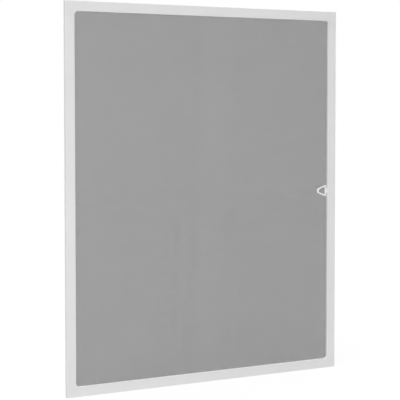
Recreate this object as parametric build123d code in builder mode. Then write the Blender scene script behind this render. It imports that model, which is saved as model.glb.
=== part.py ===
"""Framed insect screen for a window.

Four hollow aluminium profiles are pushed onto four moulded corners, a woven mesh is pressed into
a groove in their backs by a plastic spline, brush seals run round the back, four hooks hold the
screen in the window, and a pull tab is clamped beside the mesh.

X runs across the window and Z up. The seen face looks along -Y, and the rear face is in the plane
Y = 0. The origin is the middle of that plane. Sections are drawn in u and v: u goes inward from
the outer edge of the frame, and v goes forward from the rear face. Millimetres.
"""

import os

from build123d import *

# Frame
frame_width = 1000.0
frame_height = 1200.0
frame_depth = 11.0
face_width = 31.0
wall = 1.2
edge_break = 0.6
reveal_depth = 7.5

# Groove for the mesh and its spline, near the opening
groove_width = 4.6
tuck_depth = 2.0
groove_nib = 0.4
groove_nib_height = 1.0

# Slot for the brush seal, near the outer edge
slot_middle = 5.8
slot_mouth = 3.2
slot_width = 5.6
slot_lip = 1.0
slot_height = 1.3

# Moulded corners
corner_radius = 12.0
corner_straight = 5.0
corner_front_wall = 2.0
corner_outer_radius = 1.0
corner_rib = 1.6
leg_length = 46.0
leg_clearance = 0.3
leg_wall = 1.8
leg_pockets = 3
leg_tip_chamfer = 1.5
crush_rib_count = 4
crush_rib_length = 2.0

# Mesh, drawn as a thin wall: a coarse grid of gaps stands for its open weave, and ridges for threads
mesh_core = 0.3
gaps_across = 10
gaps_up = 12
gap_share = 0.56
thread_width = 0.5
thread_ridge = 0.15
thread_spacing = 9.0
threads_between_gaps = 4

# Spline
spline_clearance = 0.05
spline_ribs = 10
spline_rib_height = 0.25
spline_rib_width = 0.45

# Brush seal
brush_clearance = 0.2
pile_length = 5.0

# Pull tab, half way up the right side
tab_length = 40.5
tab_base_width = 38.4
tab_end_width = 21.2
tab_side_bow = 0.75
tab_base_blend = 1.0
tab_shoulder_blend = 3.0
tab_thickness = 1.6
tab_edge_break = 0.5
tab_bar = 7.8
tab_tip = 8.0
tab_hole_width = 23.2
tab_hole_end_radius = 6.5
tab_hole_blend = 3.5
tab_tongue = 0.5
tab_tongue_width = 16.0
tab_clearance = 0.05
tab_reveal_gap = 3.2

# Hooks that grip the window frame, two on the top and two on the bottom
hook_spacing = 600.0
hook_width = 15.0
hook_sheet = 1.0
hook_bend_radius = 1.5
hook_throat = 18.0
hook_grip = 11.0
hook_tip_run = 2.5
hook_tip_rise = 2.0
hook_margin = 0.6

# Screws of the hooks
screw_diameter = 2.9
screw_length = 6.5
screw_head_diameter = 5.4
screw_head_height = 1.7
screw_recess_length = 2.7
screw_recess_width = 0.9
screw_recess_depth = 0.8
screw_clearance = 0.05
hook_hole_clearance = 0.2

# Lines of the section that several pieces share
groove_inner = face_width - wall
groove_outer = groove_inner - groove_width
mesh_front = frame_depth - reveal_depth
mesh_thickness = mesh_core + 2 * thread_ridge
mesh_rear = mesh_front - mesh_thickness
tab_gap = tab_tongue + 2 * tab_clearance
lip_rear = mesh_front + tab_gap
groove_floor = mesh_front + tuck_depth
slot_start = slot_middle - slot_width / 2
slot_end = slot_middle + slot_width / 2
slot_top = slot_lip + slot_height
land_start = slot_end + wall
land_end = groove_outer - wall
land_middle = (land_start + land_end) / 2
corner_arm = face_width + corner_radius + corner_straight

# The mesh is tucked in beside the tongue of the tab, and its spline fills what is left
tuck_outer = groove_inner - tab_gap
tuck_inner = tuck_outer - mesh_thickness
tuck_foot_outer = groove_outer + spline_clearance
spline_diameter = tuck_inner - tuck_foot_outer - 2 * spline_clearance
spline_u = tuck_inner - spline_clearance - spline_diameter / 2
spline_v = groove_floor - mesh_thickness - spline_clearance - spline_diameter / 2

# Each side of the frame: its inward direction, the frame's size across it and along it
FRONT = Vector(0, -1, 0)
SIDES = {
    "bottom": (Vector(0, 0, 1), frame_height, frame_width),
    "right": (Vector(-1, 0, 0), frame_width, frame_height),
    "top": (Vector(0, 0, -1), frame_height, frame_width),
    "left": (Vector(1, 0, 0), frame_width, frame_height),
}
PROFILE_NAMES = {"bottom": "bottom_rail", "right": "right_stile", "top": "top_rail", "left": "left_stile"}


def section_plane(side, along=0.0):
    """Plane of a side's section, with u as its x and v as its y, at a distance along from the middle."""
    inward, across, _ = SIDES[side]
    normal = inward.cross(FRONT)
    return Plane(origin=inward * (-across / 2) + normal * along, x_dir=inward, z_dir=normal)


def side_length(side, inset):
    """Length of a side between two lines that lie inset from the outer edges it ends at."""
    return SIDES[side][2] - 2 * inset


def box_between(low, high, mode=Mode.ADD):
    """Rectangle in the current sketch from its lowest to its highest corner."""
    with Locations((low[0], low[1])):
        Rectangle(high[0] - low[0], high[1] - low[1], align=(Align.MIN, Align.MIN), mode=mode)


def save(part, name):
    """Labels a finished piece and writes its STEP file."""
    part.label = name
    export_step(part, f"parts/{name}.step")


def hook_places(side):
    """Distances of a side's hooks from its middle."""
    return (-hook_spacing / 2, hook_spacing / 2) if side in ("top", "bottom") else ()


def profile_outline():
    """Outer line of the extrusion, with the brush slot and the mesh groove open to the rear."""
    with BuildLine() as outline:
        Polyline(
            (0, 0),
            (slot_middle - slot_mouth / 2, 0),
            (slot_middle - slot_mouth / 2, slot_lip),
            (slot_start, slot_lip),
            (slot_start, slot_top),
            (slot_end, slot_top),
            (slot_end, slot_lip),
            (slot_middle + slot_mouth / 2, slot_lip),
            (slot_middle + slot_mouth / 2, 0),
            (groove_outer + groove_nib, 0),
            (groove_outer, groove_nib_height),
            (groove_outer, groove_floor),
            (groove_inner, groove_floor),
            (groove_inner, lip_rear),
            (face_width, lip_rear),
            (face_width, frame_depth),
            (0, frame_depth),
            close=True,
        )
    make_face(outline.edges())


def profile_chambers():
    """The two closed chambers of the extrusion: one takes the corner's leg, one backs the groove."""
    with BuildLine() as chamber:
        Polyline(
            (wall, frame_depth - wall),
            (land_end, frame_depth - wall),
            (land_end, wall),
            (land_start, wall),
            (land_start, slot_top + wall),
            (wall, slot_top + wall),
            close=True,
        )
    make_face(chamber.edges(), mode=Mode.SUBTRACT)
    box_between(
        (groove_outer, groove_floor + wall), (groove_inner, frame_depth - wall), mode=Mode.SUBTRACT
    )


def make_profile(side):
    """One length of the extrusion, cut square between two corners, with its hook holes drilled."""
    with BuildPart() as profile:
        with BuildSketch(section_plane(side)) as section:
            profile_outline()
            chamfer(section.vertices().group_by(Axis.Y)[-1], edge_break)
            profile_chambers()
        extrude(amount=side_length(side, corner_arm) / 2, both=True)
        for along in hook_places(side):
            with BuildSketch(screw_plane(side, along)):
                Circle(screw_diameter / 2 + screw_clearance)
            extrude(amount=wall, mode=Mode.SUBTRACT)
    save(profile.part, PROFILE_NAMES[side])


def screw_plane(side, along):
    """Plane on the rear face at a hook's screw, looking forward into the profile."""
    place = section_plane(side, along)
    centre = place.from_local_coords(Vector(land_middle, 0, 0))
    return Plane(origin=centre, x_dir=place.x_dir, z_dir=FRONT)


# The corner is drawn at the bottom left: plan x runs along the bottom, plan y up the left side
corner_plan = Plane(
    origin=(-frame_width / 2, 0, -frame_height / 2), x_dir=(1, 0, 0), z_dir=FRONT
)


def corner_channel(start, end, bottom, top, begin):
    """Cuts a channel along both arms of a corner, from start to end in u and bottom to top in v."""
    with BuildSketch(corner_plan.offset(bottom)) as channel:
        box_between((begin, start), (corner_arm, end))
        box_between((start, begin), (end, corner_arm))
    extrude(channel.sketch, amount=top - bottom, mode=Mode.SUBTRACT)


def corner_head():
    """The seen part of a corner, with the profile's outside, its groove and its slot carried round."""
    with BuildSketch(corner_plan) as plan:
        box_between((0, 0), (corner_arm, face_width))
        box_between((0, 0), (face_width, corner_arm))
        inside = plan.vertices().sort_by_distance((face_width, face_width))[0]
        outside = plan.vertices().sort_by_distance((0, 0))[0]
        fillet(inside, corner_radius)
        fillet(outside, corner_outer_radius)
    extrude(plan.sketch, amount=frame_depth)
    head = corner_plan.location.inverse()
    front_face = faces().sort_by(Axis.Y)[0]
    seen_edges = front_face.edges().filter_by(
        lambda edge: max((head * edge).center().X, (head * edge).center().Y) < corner_arm - edge_break
    )
    chamfer(seen_edges, edge_break)
    corner_channel(groove_outer, corner_arm, 0, lip_rear, groove_outer)
    corner_channel(groove_outer, groove_inner, lip_rear, groove_floor, groove_outer)
    corner_channel(slot_middle - slot_mouth / 2, slot_middle + slot_mouth / 2, 0, slot_lip, slot_start)
    corner_channel(slot_start, slot_end, slot_lip, slot_top, slot_start)


def corner_pockets():
    """Hollows the back of a corner's head, leaving a rib across its diagonal."""
    with BuildSketch(corner_plan) as pockets:
        box_between((land_start, land_start), (land_end, land_end))
        with Locations(Location((land_middle, land_middle), 45)):
            Rectangle(2 * face_width, corner_rib, mode=Mode.SUBTRACT)
    extrude(pockets.sketch, amount=frame_depth - corner_front_wall, mode=Mode.SUBTRACT)


def corner_leg(plane, direction):
    """One leg of a corner, hollowed from the rear and ribbed to jam in the profile's chamber."""
    low_u, high_u = land_start + leg_clearance, land_end - leg_clearance
    low_v, high_v = wall + leg_clearance, frame_depth - wall - leg_clearance
    with BuildSketch(plane) as section:
        box_between((low_u, low_v), (high_u, high_v))
    extrude(section.sketch, amount=direction * leg_length)
    tip = faces().sort_by(Axis(plane.origin, plane.z_dir * direction))[-1]
    chamfer(tip.edges(), leg_tip_chamfer)
    pocket_length = (leg_length - leg_tip_chamfer - leg_wall) / leg_pockets - leg_wall
    pocket_pitch = pocket_length + leg_wall
    for number in range(leg_pockets):
        start = leg_wall + number * pocket_pitch
        with BuildSketch(plane.offset(direction * start)) as pocket:
            box_between((low_u + leg_wall, low_v), (high_u - leg_wall, high_v - leg_wall))
        extrude(pocket.sketch, amount=direction * pocket_length, mode=Mode.SUBTRACT)
    rib_pitch = (leg_length - leg_tip_chamfer) / crush_rib_count
    for number in range(crush_rib_count):
        start = rib_pitch * (number + 0.5)
        with BuildSketch(plane.offset(direction * start)) as ribs:
            box_between((land_start, low_v), (low_u, high_v))
            box_between((high_u, low_v), (land_end, high_v))
        extrude(ribs.sketch, amount=direction * crush_rib_length)


def make_corner(name, flip_across, flip_up):
    """One moulded corner, drawn at the bottom left and mirrored to its own place."""
    across = section_plane("bottom", corner_arm - frame_width / 2)
    upward = section_plane("left", frame_height / 2 - corner_arm)
    with BuildPart() as corner:
        corner_head()
        corner_pockets()
        corner_leg(across, 1)
        corner_leg(upward, -1)
        if flip_across:
            mirror(about=Plane.YZ, mode=Mode.REPLACE)
        if flip_up:
            mirror(about=Plane.XY, mode=Mode.REPLACE)
    save(corner.part, name)


def mesh_rectangle(inset, mode=Mode.ADD):
    """Rectangle of the mesh whose edges lie inset from the outer edges of the frame."""
    Rectangle(frame_width - 2 * inset, frame_height - 2 * inset, mode=mode)


def make_mesh():
    """The woven mesh: an open wall with threads up its front and across its back, and a tucked edge."""
    face_plane = Plane(origin=(0, 0, 0), x_dir=(1, 0, 0), z_dir=FRONT)
    core_rear = mesh_rear + thread_ridge
    sheet_width = frame_width - 2 * tuck_outer
    sheet_height = frame_height - 2 * tuck_outer
    gap_pitch_across = (frame_width - 2 * face_width) / gaps_across
    gap_pitch_up = (frame_height - 2 * face_width) / gaps_up
    with BuildPart() as mesh:
        with BuildSketch(face_plane.offset(core_rear)):
            mesh_rectangle(tuck_inner)
            with GridLocations(gap_pitch_across, gap_pitch_up, gaps_across, gaps_up):
                Rectangle(gap_pitch_across * gap_share, gap_pitch_up * gap_share, mode=Mode.SUBTRACT)
        extrude(amount=mesh_core)
        with BuildSketch(face_plane.offset(core_rear)):
            mesh_rectangle(tuck_inner)
            mesh_rectangle(tuck_outer, mode=Mode.SUBTRACT)
        extrude(amount=groove_floor - core_rear)
        with BuildSketch(face_plane.offset(groove_floor)):
            mesh_rectangle(tuck_foot_outer)
            mesh_rectangle(tuck_outer, mode=Mode.SUBTRACT)
        extrude(amount=-mesh_thickness)
        with BuildSketch(face_plane.offset(core_rear + mesh_core)):
            with GridLocations(gap_pitch_across, 0, gaps_across - 1, 1):
                with GridLocations(thread_spacing, 0, threads_between_gaps, 1):
                    Rectangle(thread_width, sheet_height)
        extrude(amount=thread_ridge)
        with BuildSketch(face_plane.offset(core_rear)):
            with GridLocations(0, gap_pitch_up, 1, gaps_up - 1):
                with GridLocations(0, thread_spacing, 1, threads_between_gaps):
                    Rectangle(sheet_width, thread_width)
        extrude(amount=-thread_ridge)
    save(mesh.part, "insect_mesh")


def make_spline(side):
    """One length of ribbed spline; the upright lengths run through and the others stop against them."""
    upright = side in ("left", "right")
    end_inset = groove_outer + spline_clearance if upright else tuck_inner + spline_clearance
    with BuildPart() as spline:
        with BuildSketch(section_plane(side)):
            with Locations((spline_u, spline_v)):
                Circle(spline_diameter / 2 - spline_rib_height)
                with PolarLocations(spline_diameter / 2, spline_ribs):
                    Rectangle(2 * spline_rib_height, spline_rib_width, align=(Align.MAX, Align.CENTER))
        extrude(amount=side_length(side, end_inset) / 2, both=True)
    save(spline.part, f"spline_{side}")


def make_brush(side):
    """One length of brush seal: a backing held in the slot and a pile that stands out of the rear."""
    upright = side in ("left", "right")
    end_inset = slot_end + brush_clearance if upright else slot_start + brush_clearance
    with BuildPart() as brush:
        with BuildSketch(section_plane(side)):
            with Locations((slot_middle, slot_lip + slot_height / 2)):
                Rectangle(slot_width - 2 * brush_clearance, slot_height - 2 * brush_clearance)
            box_between(
                (slot_middle - slot_mouth / 2 + brush_clearance, -pile_length),
                (slot_middle + slot_mouth / 2 - brush_clearance, slot_lip + slot_height / 2),
            )
        extrude(amount=side_length(side, end_inset) / 2, both=True)
    save(brush.part, f"brush_{side}")


def make_hook(side, along, name):
    """A folded steel hook: a foot screwed to the rear face, a throat and a grip with a turned-up tip."""
    foot_outer = land_start + hook_margin
    stem = land_end - hook_margin - hook_sheet / 2
    foot_v = -hook_sheet / 2
    grip_v = foot_v - hook_sheet - hook_throat
    with BuildPart() as hook:
        with BuildSketch(section_plane(side, along)):
            with BuildLine():
                FilletPolyline(
                    (foot_outer, foot_v),
                    (stem, foot_v),
                    (stem, grip_v),
                    (stem - hook_grip + hook_tip_run, grip_v),
                    (stem - hook_grip, grip_v - hook_tip_rise),
                    radius=hook_bend_radius,
                )
            trace(line_width=hook_sheet)
        extrude(amount=hook_width / 2, both=True)
        with BuildSketch(screw_plane(side, along)):
            Circle(screw_diameter / 2 + hook_hole_clearance)
        extrude(amount=-hook_sheet, mode=Mode.SUBTRACT)
    save(hook.part, name)


def make_screws():
    """The pan-head screws of the four hooks, each with a cross recess."""
    with BuildPart() as screws:
        for side in ("top", "bottom"):
            for along in hook_places(side):
                head_seat = screw_plane(side, along).offset(-hook_sheet)
                with BuildSketch(head_seat):
                    Circle(screw_diameter / 2)
                extrude(amount=screw_length)
                with BuildSketch(head_seat):
                    Circle(screw_head_diameter / 2)
                extrude(amount=-screw_head_height)
                with BuildSketch(head_seat.offset(-screw_head_height)):
                    Rectangle(screw_recess_length, screw_recess_width)
                    Rectangle(screw_recess_width, screw_recess_length)
                extrude(amount=screw_recess_depth, mode=Mode.SUBTRACT)
    save(screws.part, "hook_screws")


def tab_outline():
    """Outer line of the pull tab: slightly bowed sides that narrow to a round end."""
    base, end = tab_base_width / 2, tab_end_width / 2
    shoulder = tab_length - end
    with BuildLine() as outline:
        SagittaArc((tab_reveal_gap, base), (shoulder, end), tab_side_bow)
        ThreePointArc((shoulder, end), (tab_length, 0), (shoulder, -end))
        SagittaArc((shoulder, -end), (tab_reveal_gap, -base), tab_side_bow)
        Line((tab_reveal_gap, -base), (tab_reveal_gap, base))
    make_face(outline.edges())


def tab_hole():
    """The finger hole of the pull tab: the hull of two small circles at the bar and one at the tip."""
    corner_x = tab_bar + tab_hole_blend
    corner_y = tab_hole_width / 2 - tab_hole_blend
    with BuildSketch(mode=Mode.PRIVATE) as hole:
        with Locations((corner_x, corner_y), (corner_x, -corner_y)):
            Circle(tab_hole_blend)
        with Locations((tab_length - tab_tip - tab_hole_end_radius, 0)):
            Circle(tab_hole_end_radius)
        make_hull()
    add(hole.sketch, mode=Mode.SUBTRACT)


def make_pull_tab():
    """The pull tab: a flat loop in front of the mesh and a tongue clamped beside the tucked mesh."""
    tab_section = section_plane("right")
    reveal = tab_section.from_local_coords(Vector(face_width, 0, 0))
    tab_plane = Plane(origin=reveal, x_dir=(-1, 0, 0), z_dir=FRONT)
    tab_rear = mesh_front + tab_clearance
    tongue_end = tuck_outer + tab_clearance
    tongue_start = face_width + (tab_reveal_gap + tab_bar) / 2
    with BuildPart() as tab:
        with BuildSketch(tab_plane.offset(tab_rear)) as loop:
            tab_outline()
            fillet(loop.vertices().group_by(Axis.X)[0], tab_base_blend)
            fillet(loop.vertices().group_by(Axis.X)[-1], tab_shoulder_blend)
            tab_hole()
        extrude(amount=tab_thickness)
        chamfer(tab.faces().sort_by(Axis.Y)[0].edges(), tab_edge_break)
        with BuildSketch(tab_section):
            box_between((tongue_end, tab_rear), (tongue_start, tab_rear + tab_tongue))
            box_between((tongue_end, tab_rear), (tongue_end + tab_tongue, groove_floor - tab_clearance))
        extrude(amount=tab_tongue_width / 2, both=True)
    save(tab.part, "pull_tab")


os.makedirs("parts", exist_ok=True)
for side_name in SIDES:
    make_profile(side_name)
    make_spline(side_name)
    make_brush(side_name)
for up, flipped_up in (("bottom", False), ("top", True)):
    for hand, flipped_across in (("left", False), ("right", True)):
        make_corner(f"corner_{up}_{hand}", flipped_across, flipped_up)
for up in ("bottom", "top"):
    for hand, along_side in zip(("left", "right"), hook_places(up)):
        make_hook(up, along_side, f"hook_{up}_{hand}")
make_mesh()
make_screws()
make_pull_tab()
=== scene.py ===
"""Window insect screen: woven mesh, brush fibres, finishes, studio light and camera. Metres."""

import math
import random

import bpy
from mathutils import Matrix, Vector


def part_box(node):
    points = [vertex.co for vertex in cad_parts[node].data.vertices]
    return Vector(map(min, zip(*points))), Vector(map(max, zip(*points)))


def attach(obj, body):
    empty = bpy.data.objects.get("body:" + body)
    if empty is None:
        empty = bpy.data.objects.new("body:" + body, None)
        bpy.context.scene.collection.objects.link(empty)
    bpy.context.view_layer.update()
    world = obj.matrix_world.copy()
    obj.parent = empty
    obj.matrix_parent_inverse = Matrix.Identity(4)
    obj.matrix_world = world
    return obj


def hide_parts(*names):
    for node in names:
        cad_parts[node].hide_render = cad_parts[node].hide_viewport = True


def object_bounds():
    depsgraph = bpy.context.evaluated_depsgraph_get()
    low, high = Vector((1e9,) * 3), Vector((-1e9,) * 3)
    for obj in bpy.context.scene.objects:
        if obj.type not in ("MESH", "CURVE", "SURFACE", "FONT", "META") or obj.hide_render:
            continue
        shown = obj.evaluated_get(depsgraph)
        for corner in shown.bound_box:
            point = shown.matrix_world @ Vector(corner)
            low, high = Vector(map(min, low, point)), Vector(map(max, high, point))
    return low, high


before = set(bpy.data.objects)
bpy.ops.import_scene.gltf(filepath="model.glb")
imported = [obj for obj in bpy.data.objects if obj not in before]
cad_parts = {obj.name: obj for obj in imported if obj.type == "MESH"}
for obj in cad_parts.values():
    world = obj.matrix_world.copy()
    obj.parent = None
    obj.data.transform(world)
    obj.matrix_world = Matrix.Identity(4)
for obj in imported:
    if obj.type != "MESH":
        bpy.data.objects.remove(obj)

cad_low, cad_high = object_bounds()
MM = 0.001
AXIS_X, AXIS_Z = 0, 2
random.seed(7)

# Woven mesh: threads of a coated yarn that are fused where they cross
THREAD_PITCH = 1.25 * MM
THREAD_DIAMETER = 0.56 * MM
THREAD_SIDES = 6
SHEET_THICKNESS = 0.6 * MM
TUCK_INSET = 3.65 * MM

# Brush seal: a backing strip in its slot and a pile of fibres
PILE_WIDTH = 2.8 * MM
PILE_CORE_WIDTH = 1.8 * MM
PILE_CORE_SHORT = 0.7 * MM
BACKING_DEPTH = 1.1 * MM
FIBRE_SPACING = 1.1 * MM
FIBRE_SCATTER = (0.25, 0.75)
FIBRE_ROWS = 3
FIBRE_SIDES = 3
FIBRE_RADIUS = 0.34 * MM
FIBRE_LEAN = 0.5 * MM

# Finishes: the band of a noise over which a colour changes, and the streaks of brushed metal
TINT_BAND = (0.3, 0.7)
BRUSHED_STRETCH = (0.05, 1.0, 1.0)

# Camera fitted to the photo, with its image taken as 400 by 400
IMAGE_SIZE = 400
CAMERA_FOCAL_PIXELS = 1366.4
CAMERA_AZIMUTH = math.radians(-30.960)
CAMERA_PITCH = math.radians(2.872)
CAMERA_DISTANCE = 4.3665
CAMERA_HEIGHT = 0.2801
CAMERA_SHIFT_PIXELS = (-6.81, -24.0)
SENSOR_WIDTH = 36.0

# Floor: it is partly clear even near the screen, so that the render's denoiser takes it for background
FLOOR_HALF_WIDTH = 12.0
FLOOR_FADE = (4.0, 11.0)
FLOOR_CLEAR = 0.4
FLOOR_PAPER = 0.7
FLOOR_SEEN_PAPER = 0.133
FLOOR_SEEN_GLOW = 0.872

# Light: an even world, two broad suns that stand in a direction from the screen, and a soft box
WORLD_LIGHT = 0.2
SUN_DISTANCE = 6.0
KEY_STRENGTH = 2.45
KEY_SPREAD = math.radians(50.0)
KEY_DIRECTION = Vector((-0.45, -0.4, 0.798))
REAR_STRENGTH = 1.7
REAR_SPREAD = math.radians(60.0)
REAR_DIRECTION = Vector((0.62, 0.68, 0.39))
FILL_POWER = 15.6
FILL_SIZE = (1.0, 1.2)
FILL_PLACE = Vector((-1.0, -2.5, 0.05))
FILL_AIM = Vector((0.0, 0.0, 0.0))


def new_material(name, base_color, roughness, metallic=0.0):
    """A material with one Principled shader, whose constants sit on the shader's own sockets."""
    material = bpy.data.materials.new(name)
    material.use_nodes = True
    shader = material.node_tree.nodes["Principled BSDF"]
    shader.inputs["Base Color"].default_value = (*base_color, 1.0)
    shader.inputs["Roughness"].default_value = roughness
    shader.inputs["Metallic"].default_value = metallic
    return material, material.node_tree, shader


def noise(tree, scale, detail=2.0, stretch=(1.0, 1.0, 1.0)):
    """A noise texture in the object's own metres, stretched along the axes."""
    coordinates = tree.nodes.new("ShaderNodeTexCoord")
    mapping = tree.nodes.new("ShaderNodeMapping")
    mapping.inputs["Scale"].default_value = stretch
    texture = tree.nodes.new("ShaderNodeTexNoise")
    texture.inputs["Scale"].default_value = scale
    texture.inputs["Detail"].default_value = detail
    tree.links.new(coordinates.outputs["Object"], mapping.inputs["Vector"])
    tree.links.new(mapping.outputs["Vector"], texture.inputs["Vector"])
    return texture.outputs["Fac"]


def tint(tree, shader, value, dark, light):
    """Mottles the base colour between two close colours by a value."""
    colors = tree.nodes.new("ShaderNodeValToRGB")
    for element, position, color in zip(colors.color_ramp.elements, TINT_BAND, (dark, light)):
        element.position = position
        element.color = (*color, 1.0)
    tree.links.new(value, colors.inputs["Fac"])
    tree.links.new(colors.outputs["Color"], shader.inputs["Base Color"])


def vary_roughness(tree, shader, value, low, high):
    """Maps a value between 0 and 1 to a range of roughness."""
    mapped = tree.nodes.new("ShaderNodeMapRange")
    mapped.inputs["To Min"].default_value = low
    mapped.inputs["To Max"].default_value = high
    tree.links.new(value, mapped.inputs["Value"])
    tree.links.new(mapped.outputs["Result"], shader.inputs["Roughness"])


def bump(tree, shader, height, depth):
    """Bumps a shader by a height between 0 and 1, over a depth in metres."""
    node = tree.nodes.new("ShaderNodeBump")
    node.inputs["Strength"].default_value = 1.0
    node.inputs["Distance"].default_value = depth
    tree.links.new(height, node.inputs["Height"])
    tree.links.new(node.outputs["Normal"], shader.inputs["Normal"])


def powder_coat():
    """White powder coat: satin, with the fine orange peel of sprayed powder."""
    material, tree, shader = new_material("white_powder_coat", (0.84, 0.84, 0.84), roughness=0.42)
    tint(tree, shader, noise(tree, scale=9.0), dark=(0.825, 0.826, 0.828), light=(0.85, 0.85, 0.85))
    vary_roughness(tree, shader, noise(tree, scale=160.0), low=0.36, high=0.48)
    bump(tree, shader, noise(tree, scale=900.0, detail=3.0), depth=0.03 * MM)
    return material


def moulded_white():
    """White moulded plastic of the corners, a little duller than the powder coat."""
    material, tree, shader = new_material("white_moulding", (0.83, 0.83, 0.83), roughness=0.5)
    tint(tree, shader, noise(tree, scale=30.0), dark=(0.815, 0.816, 0.818), light=(0.835, 0.835, 0.835))
    vary_roughness(tree, shader, noise(tree, scale=300.0), low=0.45, high=0.56)
    bump(tree, shader, noise(tree, scale=2200.0), depth=0.02 * MM)
    return material


def tab_white():
    """White flexible plastic of the pull tab."""
    material, tree, shader = new_material("white_tab", (0.87, 0.87, 0.87), roughness=0.38)
    tint(tree, shader, noise(tree, scale=60.0), dark=(0.86, 0.86, 0.862), light=(0.88, 0.88, 0.88))
    vary_roughness(tree, shader, noise(tree, scale=400.0), low=0.32, high=0.44)
    bump(tree, shader, noise(tree, scale=1500.0), depth=0.015 * MM)
    return material


def mesh_yarn():
    """Charcoal coated yarn of the mesh: a soft sheen, slightly uneven along the threads."""
    material, tree, shader = new_material("charcoal_yarn", (0.045, 0.045, 0.047), roughness=0.5)
    patches = noise(tree, scale=70.0, detail=4.0)
    tint(tree, shader, patches, dark=(0.036, 0.036, 0.038), light=(0.056, 0.056, 0.058))
    vary_roughness(tree, shader, noise(tree, scale=500.0), low=0.5, high=0.68)
    shader.inputs["Specular IOR Level"].default_value = 0.12
    bump(tree, shader, noise(tree, scale=6000.0), depth=0.03 * MM)
    return material


def spline_cord():
    """Dark grey soft plastic of the spline."""
    material, tree, shader = new_material("spline_cord", (0.05, 0.05, 0.052), roughness=0.6)
    tint(tree, shader, noise(tree, scale=120.0), dark=(0.04, 0.04, 0.042), light=(0.065, 0.065, 0.067))
    vary_roughness(tree, shader, noise(tree, scale=700.0), low=0.5, high=0.7)
    bump(tree, shader, noise(tree, scale=2500.0), depth=0.05 * MM)
    return material


def pile_fibre():
    """Grey fibres of the brush seal, uneven from tuft to tuft."""
    material, tree, shader = new_material("pile_fibre", (0.3, 0.3, 0.31), roughness=0.75)
    tufts = noise(tree, scale=900.0, detail=3.0)
    tint(tree, shader, tufts, dark=(0.2, 0.2, 0.205), light=(0.42, 0.42, 0.43))
    shader.inputs["Sheen Weight"].default_value = 0.25
    bump(tree, shader, noise(tree, scale=4000.0), depth=0.08 * MM)
    return material


def brushed_metal(name, base_color, roughness):
    """Bare metal of the hooks and screws, brushed along the width of the frame."""
    material, tree, shader = new_material(name, base_color, roughness, metallic=1.0)
    streaks = noise(tree, scale=500.0, detail=4.0, stretch=BRUSHED_STRETCH)
    vary_roughness(tree, shader, streaks, low=roughness - 0.1, high=roughness + 0.12)
    bump(tree, shader, streaks, depth=0.02 * MM)
    return material


def new_object(name, points, faces, material, smooth):
    """A mesh object in the frame's own metres that rides on the screen."""
    data = bpy.data.meshes.new(name)
    data.from_pydata(points, [], faces)
    data.update()
    data.polygons.foreach_set("use_smooth", [smooth] * len(data.polygons))
    data.materials.append(material)
    piece = bpy.data.objects.new(name, data)
    bpy.context.scene.collection.objects.link(piece)
    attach(piece, "root")
    return piece


def add_rings(points, faces, rings):
    """Adds a closed skin over rings of points, with a cap at each end.

    Its faces point outward where each ring turns right-handed about the way to the next.
    """
    start = len(points)
    sides = len(rings[0])
    last = start + (len(rings) - 1) * sides
    for ring in rings:
        points.extend(ring)
    for first in range(start, last, sides):
        second = first + sides
        for side in range(sides):
            after = (side + 1) % sides
            faces.append((first + side, first + after, second + after, second + side))
    faces.append(tuple(start + side for side in reversed(range(sides))))
    faces.append(tuple(last + side for side in range(sides)))


def add_cone(points, faces, foot, tip):
    """Adds a closed cone, whose foot turns right-handed about the way to the tip."""
    start = len(points)
    sides = len(foot)
    points.extend(foot)
    points.append(tip)
    for side in range(sides):
        faces.append((start + side, start + (side + 1) % sides, start + sides))
    faces.append(tuple(start + side for side in reversed(range(sides))))


def thread_ring(centre, across, outward):
    """The points around a thread at one of its bends."""
    radius = THREAD_DIAMETER / 2
    ring = []
    for side in range(THREAD_SIDES):
        angle = 2 * math.pi * (side + 0.5) / THREAD_SIDES
        spoke = across * (radius * math.cos(angle)) + outward * (radius * math.sin(angle))
        ring.append(centre + spoke)
    return ring


def tuck_profile(half_span, half_flat, sheet_y, foot_y):
    """Bends of a thread from edge to edge: its distance and y, and the outward direction in both."""
    slope = math.sqrt(0.5)
    one_side = [
        (-half_span, foot_y, 0.0, -1.0),
        (-half_flat, foot_y, slope, -slope),
        (-half_flat, sheet_y, slope, -slope),
    ]
    other_side = [
        (-distance, y, -out_distance, out_y)
        for distance, y, out_distance, out_y in reversed(one_side)
    ]
    return one_side + other_side


def add_threads(points, faces, profile, along, across, half_row):
    """Adds threads side by side over a row, each with the bends of the profile.

    Across, forward and along are right-handed, so that the faces point outward.
    """
    count = int(2 * half_row / THREAD_PITCH)
    back = Vector((0, 1, 0))
    for number in range(count):
        place = across * ((number - (count - 1) / 2) * THREAD_PITCH)
        rings = [
            thread_ring(place + along * distance + back * y, across, along * out_distance + back * out_y)
            for distance, y, out_distance, out_y in profile
        ]
        add_rings(points, faces, rings)


def make_mesh():
    """The woven mesh: threads up and across, bent into the groove at their ends."""
    low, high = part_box("insect_mesh")
    points = []
    faces = []
    sheet_y = high.y - SHEET_THICKNESS / 2
    foot_y = low.y + SHEET_THICKNESS / 2
    layer = (SHEET_THICKNESS - THREAD_DIAMETER) / 2
    half_flat_x = high.x - TUCK_INSET
    half_flat_z = high.z - TUCK_INSET
    up, right = Vector((0, 0, 1)), Vector((1, 0, 0))
    warp = tuck_profile(high.z, half_flat_z, sheet_y - layer, foot_y - layer)
    weft = tuck_profile(high.x, half_flat_x, sheet_y + layer, foot_y + layer)
    add_threads(points, faces, warp, up, -right, half_flat_x)
    add_threads(points, faces, weft, right, up, half_flat_z)
    piece = new_object("mesh_threads", points, faces, mesh_yarn(), smooth=True)
    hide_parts("insect_mesh")


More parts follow.
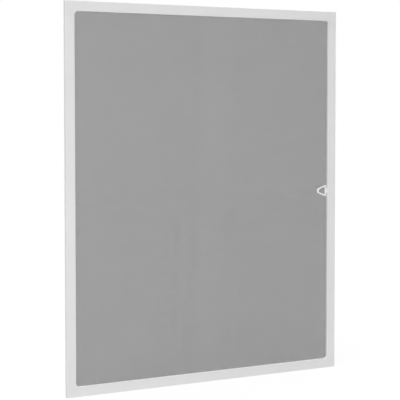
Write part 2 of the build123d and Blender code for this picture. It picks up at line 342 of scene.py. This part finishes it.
def make_brush(side, fibre):
    """One brush seal: a backing in the slot, a core of pile and loose fibres around it."""
    low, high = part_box(f"brush_{side}")
    upright = side in ("left", "right")
    along, cross = (AXIS_Z, AXIS_X) if upright else (AXIS_X, AXIS_Z)
    handed = 1 if upright else -1
    middle = (low[cross] + high[cross]) / 2
    backing_top = low.y + BACKING_DEPTH
    points = []
    faces = []

    def place(distance, sideways, depth):
        """A point at a distance along the seal, sideways from its middle and at a depth in y.

        The three stay right-handed on every side of the frame, so that all faces point outward.
        """
        spot = [0.0, depth, 0.0]
        spot[along] = distance
        spot[cross] = middle + handed * sideways
        return Vector(spot)

    def add_block(half_width, near, far):
        """Adds a block over the length of the seal, from near to far in y."""
        section = ((-half_width, near), (half_width, near), (half_width, far), (-half_width, far))
        ends = (low[along], high[along])
        add_rings(points, faces, [[place(end, *corner) for corner in section] for end in ends])

    def add_fibre(distance, row):
        """Adds a thin cone with its foot on the backing and a tip that leans along the seal."""
        sideways = (row / (FIBRE_ROWS - 1) - 0.5) * (PILE_WIDTH - 2 * FIBRE_RADIUS)
        tip_shift = random.uniform(-FIBRE_LEAN, FIBRE_LEAN)
        tip_y = high.y - random.uniform(0.0, PILE_CORE_SHORT)
        foot = []
        for turn in range(FIBRE_SIDES):
            angle = 2 * math.pi * turn / FIBRE_SIDES + row
            step = FIBRE_RADIUS * math.cos(angle)
            side_step = FIBRE_RADIUS * math.sin(angle)
            foot.append(place(distance + step, sideways + side_step, backing_top))
        tip_along = min(max(distance + tip_shift, low[along]), high[along])
        add_cone(points, faces, foot, place(tip_along, sideways, tip_y))

    add_block((high[cross] - low[cross]) / 2, low.y, backing_top)
    add_block(PILE_CORE_WIDTH / 2, backing_top, high.y - PILE_CORE_SHORT)
    count = int((high[along] - low[along]) / FIBRE_SPACING)
    for number in range(count):
        for row in range(FIBRE_ROWS):
            add_fibre(low[along] + (number + random.uniform(*FIBRE_SCATTER)) * FIBRE_SPACING, row)
    piece = new_object(f"pile_{side}", points, faces, fibre, smooth=False)
    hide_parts(f"brush_{side}")


def finish_nodes():
    """Gives each kept solid its finish."""
    coat, moulding = powder_coat(), moulded_white()
    cord, tab = spline_cord(), tab_white()
    strip = brushed_metal("hook_strip", (0.6, 0.6, 0.59), roughness=0.34)
    zinc = brushed_metal("screw_zinc", (0.66, 0.67, 0.68), roughness=0.28)
    finishes = {
        "screws": zinc,
        "hook": strip,
        "rail": coat,
        "stile": coat,
        "corner": moulding,
        "spline": cord,
        "tab": tab,
    }
    for name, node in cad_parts.items():
        finish = next((finishes[word] for word in finishes if word in name), None)
        if finish is not None:
            node.data.materials.clear()
            node.data.materials.append(finish)


def background_mix(tree, seen, other):
    """Shows one shader to the camera and in reflections and glass, and another to all other rays."""
    path = tree.nodes.new("ShaderNodeLightPath")
    either = tree.nodes.new("ShaderNodeMath")
    either.operation = "MAXIMUM"
    any_of = tree.nodes.new("ShaderNodeMath")
    any_of.operation = "MAXIMUM"
    tree.links.new(path.outputs["Is Camera Ray"], either.inputs[0])
    tree.links.new(path.outputs["Is Glossy Ray"], either.inputs[1])
    tree.links.new(either.outputs["Value"], any_of.inputs[0])
    tree.links.new(path.outputs["Is Transmission Ray"], any_of.inputs[1])
    mix = tree.nodes.new("ShaderNodeMixShader")
    tree.links.new(any_of.outputs["Value"], mix.inputs["Fac"])
    tree.links.new(other, mix.inputs[1])
    tree.links.new(seen, mix.inputs[2])
    return mix.outputs["Shader"]


def make_world():
    """White all round: full white to the eye, and a plain even light on the object."""
    world = bpy.data.worlds.new("studio")
    bpy.context.scene.world = world
    world.use_nodes = True
    tree = world.node_tree
    tree.nodes.clear()
    seen = tree.nodes.new("ShaderNodeBackground")
    seen.inputs["Strength"].default_value = 1.0
    light = tree.nodes.new("ShaderNodeBackground")
    light.inputs["Strength"].default_value = WORLD_LIGHT
    for node in (seen, light):
        node.inputs["Color"].default_value = (1.0, 1.0, 1.0, 1.0)
    output = tree.nodes.new("ShaderNodeOutputWorld")
    mixed = background_mix(tree, seen.outputs["Background"], light.outputs["Background"])
    tree.links.new(mixed, output.inputs["Surface"])


def floor_fade(tree):
    """How clear the floor is: in part near the screen and fully at its rim, so it has no horizon."""
    coordinates = tree.nodes.new("ShaderNodeTexCoord")
    distance = tree.nodes.new("ShaderNodeVectorMath")
    distance.operation = "LENGTH"
    tree.links.new(coordinates.outputs["Object"], distance.inputs[0])
    fade = tree.nodes.new("ShaderNodeMapRange")
    fade.interpolation_type = "SMOOTHSTEP"
    fade.inputs["From Min"].default_value = FLOOR_FADE[0]
    fade.inputs["From Max"].default_value = FLOOR_FADE[1]
    fade.inputs["To Min"].default_value = FLOOR_CLEAR
    tree.links.new(distance.outputs["Value"], fade.inputs["Value"])
    return fade.outputs["Result"]


def floor_paper(tree, shade):
    """A matt paper of one grey."""
    paper = tree.nodes.new("ShaderNodeBsdfDiffuse")
    paper.inputs["Color"].default_value = (shade, shade, shade, 1.0)
    return paper.outputs["BSDF"]


def white_floor():
    """White to the eye with the object's shadow on it, plain paper to all other light, clear far out."""
    material = bpy.data.materials.new("white_floor")
    material.use_nodes = True
    tree = material.node_tree
    tree.nodes.clear()
    glow = tree.nodes.new("ShaderNodeEmission")
    glow.inputs["Strength"].default_value = FLOOR_SEEN_GLOW
    seen = tree.nodes.new("ShaderNodeAddShader")
    tree.links.new(floor_paper(tree, FLOOR_SEEN_PAPER), seen.inputs[0])
    tree.links.new(glow.outputs["Emission"], seen.inputs[1])
    mixed = background_mix(tree, seen.outputs["Shader"], floor_paper(tree, FLOOR_PAPER))
    clear = tree.nodes.new("ShaderNodeBsdfTransparent")
    fade = tree.nodes.new("ShaderNodeMixShader")
    tree.links.new(floor_fade(tree), fade.inputs["Fac"])
    tree.links.new(mixed, fade.inputs[1])
    tree.links.new(clear.outputs["BSDF"], fade.inputs[2])
    output = tree.nodes.new("ShaderNodeOutputMaterial")
    tree.links.new(fade.outputs["Shader"], output.inputs["Surface"])
    return material


def make_floor():
    """The floor under the screen's lowest edge."""
    half = FLOOR_HALF_WIDTH
    corners = [(-half, -half), (half, -half), (half, half), (-half, half)]
    data = bpy.data.meshes.new("floor")
    data.from_pydata([(x, y, cad_low.z) for x, y in corners], [], [(0, 1, 2, 3)])
    data.materials.append(white_floor())
    floor = bpy.data.objects.new("floor", data)
    bpy.context.scene.collection.objects.link(floor)


def make_sun(name, strength, spread_angle, direction):
    """A far, broad light that stands in a direction from the screen."""
    data = bpy.data.lights.new(name, "SUN")
    data.energy = strength
    data.angle = spread_angle
    lamp = bpy.data.objects.new(name, data)
    lamp.location = direction * SUN_DISTANCE
    lamp.rotation_euler = (-direction).to_track_quat("-Z", "Y").to_euler()
    bpy.context.scene.collection.objects.link(lamp)


def make_fill():
    """A soft box in front of the screen, left of its middle, so that the right side gets less."""
    data = bpy.data.lights.new("fill", "AREA")
    data.energy = FILL_POWER
    data.shape = "RECTANGLE"
    data.size = FILL_SIZE[0]
    data.size_y = FILL_SIZE[1]
    lamp = bpy.data.objects.new("fill", data)
    lamp.location = FILL_PLACE
    lamp.rotation_euler = (FILL_AIM - FILL_PLACE).to_track_quat("-Z", "Y").to_euler()
    lamp.visible_camera = False
    bpy.context.scene.collection.objects.link(lamp)


def make_camera():
    """The camera of the photo."""
    data = bpy.data.cameras.new("camera")
    data.sensor_width = SENSOR_WIDTH
    data.lens = SENSOR_WIDTH * CAMERA_FOCAL_PIXELS / IMAGE_SIZE
    data.shift_x = CAMERA_SHIFT_PIXELS[0] / IMAGE_SIZE
    data.shift_y = CAMERA_SHIFT_PIXELS[1] / IMAGE_SIZE
    camera = bpy.data.objects.new("camera", data)
    camera.location = (
        CAMERA_DISTANCE * math.sin(CAMERA_AZIMUTH),
        -CAMERA_DISTANCE * math.cos(CAMERA_AZIMUTH),
        CAMERA_HEIGHT,
    )
    camera.rotation_euler = (math.pi / 2 - CAMERA_PITCH, 0.0, CAMERA_AZIMUTH)
    bpy.context.scene.collection.objects.link(camera)
    bpy.context.scene.camera = camera


bpy.context.scene.view_settings.view_transform = "Standard"
finish_nodes()
make_mesh()
pile_finish = pile_fibre()
for brush_side in ("top", "bottom", "left", "right"):
    make_brush(brush_side, pile_finish)
make_world()
make_floor()
make_sun("key", KEY_STRENGTH, KEY_SPREAD, KEY_DIRECTION)
make_sun("rear", REAR_STRENGTH, REAR_SPREAD, REAR_DIRECTION)
make_fill()
make_camera()
